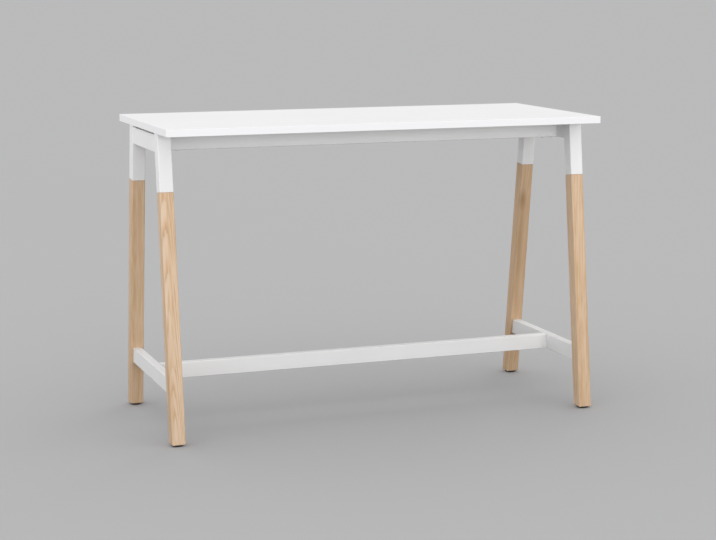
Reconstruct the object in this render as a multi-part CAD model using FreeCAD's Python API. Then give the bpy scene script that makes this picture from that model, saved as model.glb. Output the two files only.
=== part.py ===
import FreeCAD
import Part
import math
import os

# High table: a banded board on two end frames of steel sockets and splayed timber legs.
# Two long rails tie the end frames under the board, and a low stretcher ties their crossbars.
# Lengths are in millimetres. X runs along the table, the front is towards -Y, and Z is up from the floor.

# Board and edge bands
table_length = 1600.0
table_depth = 700.0
table_height = 1080.0
board_thickness = 25.0
band_thickness = 2.0
band_round = 1.2

# Timber legs
leg_width = 48.0
leg_splay_degrees = 7.1
leg_end_inset = 4.0
leg_spread_at_board = 364.0
leg_foot_bevel = 2.5
tenon_length = 150.0
tenon_lead = 4.0
shoulder_gap = 1.8

# Leg sockets, and the stop plates inside them
socket_length = 200.0
socket_wall = 2.5
socket_inner_round = 0.5
stop_plate_thickness = 5.0

# Rails under the board: the head rails across the ends, and the long rails between them
rail_height = 60.0
rail_wall = 2.0
rail_inner_round = 1.0
rail_gap_below_board = 8.0
head_rail_width = 40.0
long_rail_width = 30.0
long_rail_spacing = 168.0
rail_spigot_length = 70.0
rail_spigot_wall = 3.0

# Crossbars and stretcher, cut from one tube section
bar_height = 56.0
bar_width = 30.0
bar_wall = 2.0
bar_inner_round = 0.5
bar_centre_height = 196.0
crossbar_spigot_depth = 24.0
stretcher_end_gap = 0.5

# Lugs behind the stretcher
lug_thickness = 6.0
lug_length = 64.0
lug_height = 44.0
lug_corner_round = 10.0

# Angle brackets under the board
bracket_thickness = 3.0
bracket_width = 40.0
bracket_reach = 32.0
bracket_drop = 36.0
bracket_bend = 2.0
bracket_place_shares = (-0.36, 0.0, 0.36)

# Levelling feet
pad_height = 6.0
pad_diameter = 42.0
pad_rim_height = 4.0
pad_foot_diameter = 36.0
stem_diameter = 8.0
stem_length = 34.0
stem_tip = 1.0
stem_flange_diameter = 16.0
stem_flange_height = 2.5
foot_insert_diameter = 14.0
foot_insert_length = 30.0

# Leg bolts and their inserts
leg_bolt_diameter = 8.0
leg_bolt_length = 32.0
leg_bolt_head_diameter = 13.0
leg_bolt_head_height = 8.0
leg_insert_diameter = 13.0
leg_insert_length = 25.0

# Machine screws: rail bolts, stretcher bolts with nuts, and lock screws
bolt_diameter = 6.0
bolt_head_diameter = 10.5
bolt_head_height = 3.3
rail_bolt_length = 10.0
rail_bolt_pitch = 36.0
stretcher_bolt_length = 16.0
stretcher_bolt_pitch = 32.0
nut_width = 10.0
nut_height = 5.0
lock_screw_length = 8.0

# Wood screws
wood_screw_diameter = 4.5
wood_screw_head_diameter = 9.0
wood_screw_head_height = 2.8
wood_screw_tip = 5.0
spigot_screw_length = 55.0
spigot_screw_pitch = 28.0
top_screw_length = 20.0

# Clearances, and the length by which a cutting tool overruns what it cuts
slip_clearance = 0.2
thread_clearance = 0.08
hole_clearance = 0.3
overrun = 6.0

# Places worked out from the sizes above
splay = math.radians(leg_splay_degrees)
board_under = table_height - board_thickness
leg_x = table_length / 2 - leg_end_inset - leg_width / 2
leg_y_at_board = leg_spread_at_board / 2
leg_half_depth = leg_width / 2 / math.cos(splay)
leg_round = socket_wall + socket_inner_round
socket_inside = leg_width - 2 * socket_wall
stop_plate_place = tenon_length - socket_length
rail_top = board_under - rail_gap_below_board
rail_middle = rail_top - rail_height / 2
rail_bottom = rail_top - rail_height
head_rail_inner_x = leg_x - head_rail_width / 2
long_rail_y = long_rail_spacing / 2
crossbar_inner_x = leg_x - bar_width / 2
bar_bottom = bar_centre_height - bar_height / 2
stretcher_y = -lug_thickness - bar_width / 2
bracket_under = board_under - bracket_thickness
trim_span = 2 * table_length

X_AXIS = FreeCAD.Vector(1, 0, 0)
Y_AXIS = FreeCAD.Vector(0, 1, 0)
Z_AXIS = FreeCAD.Vector(0, 0, 1)
SIDES = (("left", -1), ("right", 1))
ENDS = (("front", -1), ("rear", 1))


def vector(x, y, z):
    return FreeCAD.Vector(x, y, z)


def leg_y(height):
    """Distance of a leg's axis from the table's middle plane at a height above the floor."""
    return leg_y_at_board + (board_under - height) * math.tan(splay)


def leg_face_y(height):
    """Distance of a leg's inward face from the table's middle plane at a height above the floor."""
    return leg_y(height) - leg_half_depth


def each_leg():
    """Name and side signs of each leg."""
    for side, x_sign in SIDES:
        for end, y_sign in ENDS:
            yield side + "_" + end, x_sign, y_sign


# Basic solids


def rounded_face(width, depth, radius):
    """Rectangle in the XY plane, centred on the origin, with rounded corners."""
    arcs = []
    for quarter, (x_sign, y_sign) in enumerate(((1, 1), (-1, 1), (-1, -1), (1, -1))):
        centre = vector(x_sign * (width / 2 - radius), y_sign * (depth / 2 - radius), 0)
        start = quarter * math.pi / 2
        arcs.append(Part.ArcOfCircle(Part.Circle(centre, Z_AXIS, radius), start, start + math.pi / 2))
    edges = []
    for arc, following in zip(arcs, arcs[1:] + arcs[:1]):
        edges.append(arc.toShape())
        edges.append(Part.LineSegment(arc.EndPoint, following.StartPoint).toShape())
    return Part.Face(Part.Wire(edges))


def bar(width, depth, radius, length):
    """Straight bar with rounded long edges, up from the XY plane."""
    return rounded_face(width, depth, radius).extrude(Z_AXIS * length)


def tube(width, depth, wall, inner_round, length):
    """Straight tube of even wall, up from the XY plane."""
    bore = rounded_face(width - 2 * wall, depth - 2 * wall, inner_round)
    section = rounded_face(width, depth, wall + inner_round).cut(bore)
    return section.extrude(Z_AXIS * length)


def along_x(solid, x, y, z):
    """Turns a solid that stands on Z so that it runs along +X from a point, its depth upright."""
    return placed(solid, FreeCAD.Rotation(Y_AXIS, Z_AXIS, X_AXIS), x, y, z)


def along_y(solid, x, y, z):
    """Turns a solid that stands on Z so that it runs along +Y from a point, its depth upright."""
    return placed(solid, FreeCAD.Rotation(-X_AXIS, Z_AXIS, Y_AXIS), x, y, z)


def placed(solid, turn, x, y, z):
    """Copy of a solid, turned and then moved to a point."""
    moved = solid.copy()
    moved.Placement = FreeCAD.Placement(vector(x, y, z), turn).multiply(solid.Placement)
    return moved


def turned_profile(points):
    """Solid of revolution about Z from (radius, height) points that start and end on the axis."""
    corners = [vector(radius, 0, height) for radius, height in points]
    outline = Part.makePolygon(corners + corners[:1])
    return Part.Face(outline).revolve(vector(0, 0, 0), Z_AXIS, 360)


def cylinder(diameter, length, foot=0.0):
    return Part.makeCylinder(diameter / 2, length, vector(0, 0, foot))


def ring(outer_diameter, inner_diameter, length):
    return cylinder(outer_diameter, length).cut(cylinder(inner_diameter, length + 2 * overrun, -overrun))


def box_between(low, high):
    size = high - low
    return Part.makeBox(size.x, size.y, size.z, low)


def trim_block(bottom):
    """Block wider than the table, up from a height, for cutting a piece level."""
    return Part.makeBox(trim_span, trim_span, trim_span, vector(-trim_span / 2, -trim_span / 2, bottom))


def space_between_legs(x, width, bottom, top):
    """Prism between the inward faces of one end's two legs, which lean towards each other."""
    corners = []
    for y_sign, height in ((-1, bottom), (1, bottom), (1, top), (-1, top)):
        corners.append(vector(x - width / 2, y_sign * leg_face_y(height), height))
    return Part.Face(Part.makePolygon(corners + corners[:1])).extrude(X_AXIS * width)


# Fasteners, which point down: the head's underside is on the XY plane


def cap_screw(diameter, length, head_diameter, head_height):
    return cylinder(diameter, length, -length).fuse(cylinder(head_diameter, head_height)).removeSplitter()


def machine_bolt(length):
    return cap_screw(bolt_diameter, length, bolt_head_diameter, bolt_head_height)


def wood_screw(length, grow=0.0):
    """Countersunk wood screw with its flat head's top on the XY plane. Grow widens it to make its hole."""
    shank = wood_screw_diameter / 2 + grow
    head = wood_screw_head_diameter / 2 + grow
    return turned_profile((
        (0, 0), (head, 0), (shank, -wood_screw_head_height),
        (shank, wood_screw_tip - length), (0, -length - grow)))


def pan_screw(length, grow=0.0):
    """Pan-headed wood screw with its head's underside on the XY plane. Grow widens it to make its hole."""
    shank = wood_screw_diameter / 2 + grow
    head = wood_screw_head_diameter / 2 + grow
    return turned_profile((
        (0, wood_screw_head_height), (head, wood_screw_head_height), (head, 0), (shank, 0),
        (shank, wood_screw_tip - length), (0, -length - grow)))


def pointing(solid, direction, x, y, z):
    """Moves a fastener so that it points along a direction instead of down."""
    return placed(solid, FreeCAD.Rotation(-Z_AXIS, direction), x, y, z)


# Places of the fasteners


def bracket_places():
    """Node, turn about Z and foot of each angle bracket, on the face of the rail that carries it."""
    face = long_rail_y - long_rail_width / 2
    for end, y_sign in ENDS:
        for share in bracket_place_shares:
            yield end + "_rail_brackets", -90 * y_sign, share * 2 * head_rail_inner_x, y_sign * face
    for side, x_sign in SIDES:
        yield side + "_head_bracket", 90 + 90 * x_sign, x_sign * head_rail_inner_x, 0


def top_screw_places():
    """Place of each screw up through a bracket into the board."""
    for _, turn, x, y in bracket_places():
        out = FreeCAD.Rotation(Z_AXIS, turn).multVec(X_AXIS) * ((bracket_thickness + bracket_reach) / 2)
        yield x + out.x, y + out.y


def rail_bolt_places():
    """Corner's name and place of each bolt up through a long rail into a spigot."""
    for name, x_sign, y_sign in each_leg():
        for step in (-1, 1):
            from_rail_end = rail_spigot_length / 2 + step * rail_bolt_pitch / 2
            yield name, x_sign * (head_rail_inner_x - from_rail_end), y_sign * long_rail_y


def lock_screw_places():
    """Corner's name and place of each screw up through a crossbar into the block in its end."""
    for name, x_sign, y_sign in each_leg():
        yield name, x_sign * leg_x, y_sign * (leg_face_y(bar_centre_height) - crossbar_spigot_depth / 2)


def spigot_screw_places():
    """Point and direction of each screw through a crossbar spigot into its leg."""
    for name, x_sign, y_sign in each_leg():
        for step in (-1, 1):
            height = bar_centre_height + step * spigot_screw_pitch / 2
            y = y_sign * (leg_face_y(bar_centre_height) - crossbar_spigot_depth)
            yield name, Y_AXIS * y_sign, (x_sign * leg_x, y, height)


def stretcher_bolt_places():
    """Side, X and height of each bolt through a lug into the stretcher."""
    for side, x_sign in SIDES:
        for step in (-1, 1):
            from_crossbar = lug_length / 2 + step * stretcher_bolt_pitch / 2
            yield side, x_sign * (crossbar_inner_x - from_crossbar), bar_centre_height


# Sub-parts


def board_and_bands():
    """Board with screw holes in its underside, and the four strips round its edge."""
    core_x = table_length / 2 - band_thickness
    core_y = table_depth / 2 - band_thickness
    board = box_between(vector(-core_x, -core_y, board_under), vector(core_x, core_y, table_height))
    screw_hole = pan_screw(top_screw_length, thread_clearance)
    for x, y in top_screw_places():
        board = board.cut(pointing(screw_hole, Z_AXIS, x, y, bracket_under))
    nodes = {"top_board": [board]}
    for name, y_sign in (("front", -1), ("back", 1)):
        nodes["edge_band_" + name] = [edge_band(table_length, Y_AXIS * y_sign, core_y, True)]
    for name, x_sign in SIDES:
        nodes["edge_band_" + name] = [edge_band(2 * core_y, X_AXIS * x_sign, core_x, False)]
    return nodes


def edge_band(length, outward, seat, round_ends):
    """Strip on the board's edge, its outer edges rounded. A long strip also laps the short strips' ends."""
    strip = Part.makeBox(length, band_thickness, board_thickness, vector(-length / 2, seat, board_under))
    outer = seat + band_thickness
    picked = []
    for edge in strip.Edges:
        on_face = all(abs(v.Y - outer) < band_thickness / 2 for v in edge.Vertexes)
        upright = abs(edge.tangentAt(edge.FirstParameter).z) > math.cos(math.pi / 4)
        if on_face and (round_ends or not upright):
            picked.append(edge)
    strip = strip.makeFillet(band_round, picked)
    strip.rotate(vector(0, 0, 0), Z_AXIS, math.degrees(math.atan2(outward.y, outward.x)) - 90)
    return strip


def in_leg_frame(solid, x_sign, y_sign):
    """Places a solid made about a leg's axis, with its origin where the axis meets the board."""
    turn = FreeCAD.Rotation(X_AXIS, y_sign * leg_splay_degrees)
    return placed(solid, turn, x_sign * leg_x, y_sign * leg_y_at_board, board_under)


def leg_socket(x_sign, y_sign):
    """Square tube, flush with the leg, cut square below and level with the board above."""
    rise = leg_width * math.tan(splay)
    blank = tube(leg_width, leg_width, socket_wall, socket_inner_round, socket_length + rise)
    blank.translate(vector(0, 0, -socket_length))
    return in_leg_frame(blank, x_sign, y_sign).cut(trim_block(board_under))


def stop_plate(x_sign, y_sign):
    """Plate across the inside of a socket, drilled for the leg bolt."""
    width = socket_inside - 2 * slip_clearance
    hole = cylinder(leg_bolt_diameter + 2 * hole_clearance, stop_plate_thickness + 2 * overrun, -overrun)
    plate = bar(width, width, leg_round, stop_plate_thickness).cut(hole)
    plate.translate(vector(0, 0, stop_plate_place))
    return in_leg_frame(plate, x_sign, y_sign)


def leg_bolt(x_sign, y_sign):
    bolt = cap_screw(leg_bolt_diameter, leg_bolt_length, leg_bolt_head_diameter, leg_bolt_head_height)
    bolt.translate(vector(0, 0, stop_plate_place + stop_plate_thickness))
    return in_leg_frame(bolt, x_sign, y_sign)


def leg_insert(x_sign, y_sign):
    insert = ring(leg_insert_diameter, leg_bolt_diameter + 2 * thread_clearance, leg_insert_length)
    insert.translate(vector(0, 0, stop_plate_place - leg_insert_length))
    return in_leg_frame(insert, x_sign, y_sign)


def tenon():
    """Reduced upper end of a leg, with a tapered lead, from the shoulder up through the XY plane."""
    width = socket_inside - 2 * slip_clearance
    radius = leg_round
    straight = bar(width, width, radius, shoulder_gap + tenon_length - tenon_lead)
    straight.translate(vector(0, 0, -shoulder_gap))
    low = rounded_face(width, width, radius).OuterWire
    high = rounded_face(width - tenon_lead, width - tenon_lead, radius).OuterWire
    low.translate(vector(0, 0, tenon_length - tenon_lead))
    high.translate(vector(0, 0, tenon_length))
    return straight.fuse(Part.makeLoft([low, high], True, True)).removeSplitter()


def foot_bevel_cut(x, y):
    """Frame-shaped tool that bevels the four edges of a leg's level foot."""
    rise = leg_foot_bevel + overrun
    outside = 2 * rise
    block = box_between(
        vector(x - leg_width / 2 - outside, y - leg_half_depth - outside, pad_height),
        vector(x + leg_width / 2 + outside, y + leg_half_depth + outside, pad_height + rise))
    wires = []
    for step in (0, rise):
        half_x = leg_width / 2 - leg_foot_bevel + step
        half_y = leg_half_depth - leg_foot_bevel + step
        plane = Part.makePlane(2 * half_x, 2 * half_y, vector(x - half_x, y - half_y, pad_height + step))
        wires.append(plane.OuterWire)
    return block.cut(Part.makeLoft(wires, True, True))


def timber_leg(name, x_sign, y_sign):
    """Square leg with a tenon above, a level bevelled foot below, and holes for its inserts and screws.

    The shoulder stops short of the socket, so that the tenon's end seats first and a shadow line shows.
    """
    run = (board_under - pad_height) / math.cos(splay) + leg_width - socket_length
    blank = bar(leg_width, leg_width, leg_round, run)
    blank.translate(vector(0, 0, -run - shoulder_gap))
    blank = blank.fuse(tenon())
    for diameter, depth in (
            (leg_insert_diameter + 2 * thread_clearance, leg_insert_length),
            (leg_bolt_diameter + 2 * hole_clearance, leg_bolt_length)):
        blank = blank.cut(cylinder(diameter, depth + overrun, tenon_length - depth))
    blank.translate(vector(0, 0, -socket_length))
    leg = in_leg_frame(blank, x_sign, y_sign).cut(trim_block(pad_height - trim_span))
    foot_x, foot_y = x_sign * leg_x, y_sign * leg_y(pad_height)
    leg = leg.cut(foot_bevel_cut(foot_x, foot_y))
    for diameter, depth in (
            (foot_insert_diameter + 2 * thread_clearance, foot_insert_length),
            (stem_diameter + 2 * hole_clearance, stem_length + stem_tip)):
        hole = cylinder(diameter, depth + overrun, -overrun)
        leg = leg.cut(placed(hole, FreeCAD.Rotation(), foot_x, foot_y, pad_height))
    for screw_name, direction, point in spigot_screw_places():
        if screw_name == name:
            leg = leg.cut(pointing(wood_screw(spigot_screw_length, thread_clearance), direction, *point))
    return leg


def end_frames():
    """Sockets, stop plates, legs, and the bolts and inserts that draw the legs up into the sockets."""
    nodes = {"leg_bolts": [], "leg_inserts": []}
    for name, x_sign, y_sign in each_leg():
        nodes[name + "_leg_socket"] = [leg_socket(x_sign, y_sign)]
        nodes[name + "_stop_plate"] = [stop_plate(x_sign, y_sign)]
        nodes[name + "_leg"] = [timber_leg(name, x_sign, y_sign)]
        nodes["leg_bolts"].append(leg_bolt(x_sign, y_sign))
        nodes["leg_inserts"].append(leg_insert(x_sign, y_sign))
    return nodes


def rails():
    """Head rails mitred to the sockets, long rails between them, and the spigots and bolts that join them."""
    nodes = {"rail_bolts": []}
    for side, x_sign in SIDES:
        length = 2 * leg_face_y(rail_bottom)
        blank = tube(head_rail_width, rail_height, rail_wall, rail_inner_round, length)
        rail = along_y(blank, x_sign * leg_x, -length / 2, rail_middle)
        room_width = head_rail_width + 2 * overrun
        room = space_between_legs(x_sign * leg_x, room_width, rail_bottom - overrun, board_under)
        nodes[side + "_head_rail"] = [rail.common(room)]
    spigot_width = long_rail_width - 2 * rail_wall - 2 * slip_clearance
    spigot_height = rail_height - 2 * rail_wall - 2 * slip_clearance
    for name, x_sign, y_sign in each_leg():
        spigot = tube(spigot_width, spigot_height, rail_spigot_wall, rail_inner_round, rail_spigot_length)
        foot = -head_rail_inner_x if x_sign < 0 else head_rail_inner_x - rail_spigot_length
        nodes[name + "_rail_spigot"] = [along_x(spigot, foot, y_sign * long_rail_y, rail_middle)]
    for end, y_sign in ENDS:
        blank = tube(long_rail_width, rail_height, rail_wall, rail_inner_round, 2 * head_rail_inner_x)
        nodes[end + "_rail"] = [along_x(blank, -head_rail_inner_x, y_sign * long_rail_y, rail_middle)]
    walls = rail_wall + slip_clearance + rail_spigot_wall
    wall_hole = cylinder(bolt_diameter + 2 * hole_clearance, walls + 2 * overrun, -overrun)
    for name, x, y in rail_bolt_places():
        nodes["rail_bolts"].append(pointing(machine_bolt(rail_bolt_length), Z_AXIS, x, y, rail_bottom))
        hole = placed(wall_hole, FreeCAD.Rotation(), x, y, rail_bottom)
        for node in (name.split("_")[1] + "_rail", name + "_rail_spigot"):
            nodes[node] = [nodes[node][0].cut(hole)]
    return nodes


def angle_bracket():
    """Bent angle below the XY plane: an upright flange on the YZ plane, and a level flange outwards."""
    bend = bracket_bend + bracket_thickness
    slant = math.sqrt(1 / 2)
    outer_arc = Part.Arc(
        vector(0, 0, -bend), vector(bend - bend * slant, 0, bend * slant - bend), vector(bend, 0, 0))
    inner_arc = Part.Arc(
        vector(bend, 0, -bracket_thickness),
        vector(bend - bracket_bend * slant, 0, bracket_bend * slant - bend),
        vector(bracket_thickness, 0, -bend))
    runs = (
        (vector(0, 0, -bracket_drop), outer_arc.StartPoint), outer_arc,
        (outer_arc.EndPoint, vector(bracket_reach, 0, 0)),
        (vector(bracket_reach, 0, 0), vector(bracket_reach, 0, -bracket_thickness)),
        (vector(bracket_reach, 0, -bracket_thickness), inner_arc.StartPoint), inner_arc,
        (inner_arc.EndPoint, vector(bracket_thickness, 0, -bracket_drop)),
        (vector(bracket_thickness, 0, -bracket_drop), vector(0, 0, -bracket_drop)))
    edges = [Part.LineSegment(*run).toShape() if isinstance(run, tuple) else run.toShape() for run in runs]
    solid = Part.Face(Part.Wire(edges)).extrude(Y_AXIS * bracket_width)
    solid.translate(vector(0, -bracket_width / 2, 0))
    hole = cylinder(wood_screw_diameter + 2 * hole_clearance, bracket_thickness + 2 * overrun, -overrun)
    hole.translate(vector((bracket_thickness + bracket_reach) / 2, 0, -bracket_thickness))
    return solid.cut(hole)


def board_fixings():
    """Angle brackets on the rails, and the screws that go up through them into the board."""
    nodes = {"top_screws": []}
    for name, turn, x, y in bracket_places():
        bracket = placed(angle_bracket(), FreeCAD.Rotation(Z_AXIS, turn), x, y, board_under)
        nodes.setdefault(name, []).append(bracket)
    for x, y in top_screw_places():
        nodes["top_screws"].append(pointing(pan_screw(top_screw_length), Z_AXIS, x, y, bracket_under))
    return nodes


def crossbars():
    """Crossbars mitred to the legs, the blocks in their ends, and the screws that hold both."""
    nodes = {"spigot_screws": [], "lock_screws": []}
    for side, x_sign in SIDES:
        length = 2 * leg_face_y(bar_bottom)
        blank = tube(bar_width, bar_height, bar_wall, bar_inner_round, length)
        solid = along_y(blank, x_sign * leg_x, -length / 2, bar_centre_height)
        room = space_between_legs(
            x_sign * leg_x, bar_width + 2 * overrun, bar_bottom - overrun, bar_bottom + bar_height + overrun)
        nodes[side + "_crossbar"] = [solid.common(room)]
        block_width = bar_width - 2 * bar_wall - 2 * slip_clearance
        block_height = bar_height - 2 * bar_wall - 2 * slip_clearance
        for end, y_sign in ENDS:
            inner_y = leg_face_y(bar_centre_height) - crossbar_spigot_depth
            blank = bar(block_width, block_height, bar_inner_round + slip_clearance, length / 2 - inner_y)
            foot = inner_y if y_sign > 0 else -length / 2
            block = along_y(blank, x_sign * leg_x, foot, bar_centre_height).common(room)
            nodes[side + "_" + end + "_crossbar_spigot"] = [block]
    for name, direction, point in spigot_screw_places():
        node = name + "_crossbar_spigot"
        hole = pointing(wood_screw(spigot_screw_length, thread_clearance), direction, *point)
        nodes[node] = [nodes[node][0].cut(hole)]
        nodes["spigot_screws"].append(pointing(wood_screw(spigot_screw_length), direction, *point))
    shank_hole = cylinder(bolt_diameter + 2 * thread_clearance, lock_screw_length + overrun, -overrun)
    for name, x, y in lock_screw_places():
        hole = placed(shank_hole, FreeCAD.Rotation(), x, y, bar_bottom)
        for node in (name.split("_")[0] + "_crossbar", name + "_crossbar_spigot"):
            nodes[node] = [nodes[node][0].cut(hole)]
        nodes["lock_screws"].append(pointing(machine_bolt(lock_screw_length), Z_AXIS, x, y, bar_bottom))
    return nodes


def stretcher_lug(x_sign):
    """Upright plate on a crossbar's inner face, its free corners rounded, behind the stretcher's end."""
    plate = Part.makeBox(lug_length, lug_thickness, lug_height, vector(0, -lug_thickness, -lug_height / 2))
    free = [edge for edge in plate.Edges if all(v.X > lug_length / 2 for v in edge.Vertexes)]
    corners = [edge for edge in free if abs(edge.tangentAt(edge.FirstParameter).y) > math.cos(math.pi / 4)]
    plate = plate.makeFillet(lug_corner_round, corners)
    if x_sign > 0:
        plate = plate.mirror(vector(0, 0, 0), X_AXIS)
    plate.translate(vector(x_sign * crossbar_inner_x, 0, bar_centre_height))
    return plate


def hex_nut():
    """Hexagonal nut with a plain bore, up from the XY plane."""
    radius = nut_width / 2 / math.cos(math.pi / 6)
    angles = [side * math.pi / 3 for side in range(7)]
    corners = [vector(radius * math.cos(angle), radius * math.sin(angle), 0) for angle in angles]
    body = Part.Face(Part.makePolygon(corners)).extrude(Z_AXIS * nut_height)
    return body.cut(cylinder(bolt_diameter + 2 * thread_clearance, nut_height + 2 * overrun, -overrun))


def stretcher_set():
    """Low stretcher, bolted from behind to a lug on each crossbar, with nuts on its inner wall."""
    reach = crossbar_inner_x - stretcher_end_gap
    blank = tube(bar_width, bar_height, bar_wall, bar_inner_round, 2 * reach)
    stretcher = along_x(blank, -reach, stretcher_y, bar_centre_height)
    nodes = {side + "_stretcher_lug": [stretcher_lug(x_sign)] for side, x_sign in SIDES}
    nodes["stretcher_bolts"] = []
    nodes["stretcher_nuts"] = []
    wall_y = -lug_thickness - bar_wall
    through = cylinder(bolt_diameter + 2 * hole_clearance, 2 * overrun - wall_y, -overrun)
    for side, x, z in stretcher_bolt_places():
        hole = pointing(through, -Y_AXIS, x, wall_y, z)
        stretcher = stretcher.cut(hole)
        lug = side + "_stretcher_lug"
        nodes[lug] = [nodes[lug][0].cut(hole)]
        nodes["stretcher_bolts"].append(pointing(machine_bolt(stretcher_bolt_length), -Y_AXIS, x, 0, z))
        nodes["stretcher_nuts"].append(pointing(hex_nut(), Y_AXIS, x, wall_y, z))
    nodes["stretcher"] = [stretcher]
    return nodes


def foot_pad():
    """Round pad with a tapered foot and a recess for the stem's flange, up from the XY plane."""
    pad = turned_profile((
        (0, 0), (pad_foot_diameter / 2, 0), (pad_diameter / 2, pad_height - pad_rim_height),
        (pad_diameter / 2, pad_height), (0, pad_height)))
    recess_diameter = stem_flange_diameter + 2 * thread_clearance
    recess = cylinder(recess_diameter, stem_flange_height + overrun, pad_height - stem_flange_height)
    return pad.cut(recess)


def foot_stem():
    """Plain stem with a chamfered tip and a flange that sits flush in the pad, up from the XY plane."""
    flange = stem_flange_diameter / 2
    shank = stem_diameter / 2
    return turned_profile((
        (0, pad_height - stem_flange_height), (flange, pad_height - stem_flange_height), (flange, pad_height),
        (shank, pad_height), (shank, pad_height + stem_length - stem_tip),
        (shank - stem_tip, pad_height + stem_length), (0, pad_height + stem_length)))


def feet():
    """Levelling feet, each a pad and a stem, and the inserts that they screw into."""
    nodes = {"foot_inserts": []}
    for name, x_sign, y_sign in each_leg():
        x, y = x_sign * leg_x, y_sign * leg_y(pad_height)
        nodes[name + "_foot_pad"] = [placed(foot_pad(), FreeCAD.Rotation(), x, y, 0)]
        nodes[name + "_foot_stem"] = [placed(foot_stem(), FreeCAD.Rotation(), x, y, 0)]
        insert = ring(foot_insert_diameter, stem_diameter + 2 * thread_clearance, foot_insert_length)
        nodes["foot_inserts"].append(placed(insert, FreeCAD.Rotation(), x, y, pad_height))
    return nodes


os.makedirs("parts", exist_ok=True)
for group in (board_and_bands, end_frames, rails, board_fixings, crossbars, stretcher_set, feet):
    for node, solids in group().items():
        shape = solids[0] if len(solids) == 1 else Part.makeCompound(solids)
        shape.exportStep("parts/" + node + ".step")
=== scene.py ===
import math
import bmesh
import bpy
import numpy as np
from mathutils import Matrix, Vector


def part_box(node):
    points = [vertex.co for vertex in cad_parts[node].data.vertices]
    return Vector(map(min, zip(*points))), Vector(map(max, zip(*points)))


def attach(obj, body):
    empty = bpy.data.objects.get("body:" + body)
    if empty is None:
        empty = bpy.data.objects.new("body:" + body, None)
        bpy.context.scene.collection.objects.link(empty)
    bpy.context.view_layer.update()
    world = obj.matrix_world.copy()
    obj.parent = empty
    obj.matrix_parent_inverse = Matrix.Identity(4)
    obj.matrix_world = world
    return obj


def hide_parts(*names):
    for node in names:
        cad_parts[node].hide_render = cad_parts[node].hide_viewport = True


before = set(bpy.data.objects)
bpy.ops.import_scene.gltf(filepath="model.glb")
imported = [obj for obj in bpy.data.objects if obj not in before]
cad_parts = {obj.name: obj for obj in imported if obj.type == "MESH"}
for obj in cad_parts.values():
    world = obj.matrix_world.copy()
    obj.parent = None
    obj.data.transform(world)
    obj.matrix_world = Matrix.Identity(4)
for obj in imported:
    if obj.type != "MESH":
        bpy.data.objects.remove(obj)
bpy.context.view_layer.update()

bl_info = {
    "name": "High Table",
    "version": (1, 0, 0),
    "blender": (4, 5, 0),
    "location": "3D View > Sidebar > High Table",
    "description": "Finishes, hardware and a studio for the high table on its packed frame",
    "category": "Object",
}

MM = 0.001
ROOT_BODY = "table"
SIDES = (("left", -1), ("right", 1))
ENDS = (("front", -1), ("rear", 1))
CORNERS = tuple((side + "_" + end, x_sign, y_sign) for side, x_sign in SIDES for end, y_sign in ENDS)

# Places that the frame gives
socket_low, socket_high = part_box("right_rear_leg_socket")
leg_low, leg_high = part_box("right_rear_leg")
head_low, head_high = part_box("right_head_rail")
foot_low, foot_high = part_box("right_rear_foot_pad")
leg_width = leg_high.x - leg_low.x
leg_x = (leg_low.x + leg_high.x) / 2
foot_y = (foot_low.y + foot_high.y) / 2
socket_y = (socket_low.y + socket_high.y) / 2
socket_z = (socket_low.z + socket_high.z) / 2

# How each leg is sawn: the pith's place as shares of the leg's width, its lean in degrees, its place in the
# noise, and the share of heart tint all over it
LEG_GRAIN = {
    "left_front": {
        "pith_shares": (0.05, 1.30), "lean_degrees": (1.9, -0.25), "noise_place": 3.0, "heart_share": 0.0},
    "left_rear": {
        "pith_shares": (-1.6, 0.7), "lean_degrees": (0.5, 0.7), "noise_place": 11.0, "heart_share": 0.27},
    "right_front": {
        "pith_shares": (0.55, 1.9), "lean_degrees": (1.1, 0.3), "noise_place": 23.0, "heart_share": 0.16},
    "right_rear": {
        "pith_shares": (-0.5, 1.3), "lean_degrees": (-1.6, 0.9), "noise_place": 37.0, "heart_share": 0.48},
}

# How far the rings, the fibres and the soft patches are drawn out along the grain
RING_STRETCH = 18.0
FIBRE_STRETCH = 60.0
MOTTLE_STRETCH = 9.0

# How strongly the pore lines tint the wood, and how much relief the rings add to that of the pores
PORE_TINT_SHARE = 0.16
RING_RELIEF_SHARE = 0.3

# The knot's leg, its place as shares of the leg's width, its height and its reach each way, then how far
# below it the middle of the dark trail lies, the trail's reach, and how strongly both tint the wood
KNOT_LEG = "right_rear"
KNOT_SHARES = (-0.22, -0.5)
KNOT_HEIGHT = 0.722
KNOT_REACH = (0.019, 0.024, 0.052)
TRAIL_DROP = 0.17
TRAIL_REACH = (0.019, 0.024, 0.30)
KNOT_TINT_SHARE = 0.75
TRAIL_TINT_SHARE = 0.9

# Texture of the other finishes: the band's pearl as a share of the board's, the widths of slow drifts, the
# coat's grit against its orange peel, and the widths, depths and stretch of marks
BAND_PEARL_SHARE = 0.6
GLOSS_DRIFT = 350 * MM
TONE_DRIFT = 160 * MM
GRIT_FINENESS = 6
GRIT_RELIEF_SHARE = 0.25
CLOUD_SIZE = 6.0 * MM
MARK_SIZE = 0.4 * MM
MARK_DEPTH = 0.02 * MM
SPARK_SIZE = 0.5 * MM
SPARK_DEPTH = 0.05 * MM
SCUFF_SIZE = 9.0 * MM
MARKS_ALONG_Y = (1.0, 30.0, 1.0)
MARKS_ALL_WAYS = (1.0, 1.0, 1.0)

# Fasteners and stems, as the CAD solids have them
BOLT_SHANK = 6.0 * MM
BOLT_HEAD = 3.3 * MM
SCREW_SHANK = 4.5 * MM
SCREW_HEAD = 2.8 * MM
SCREW_TIP = 5.0 * MM
STEM_RADIUS = 4.0 * MM

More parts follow.
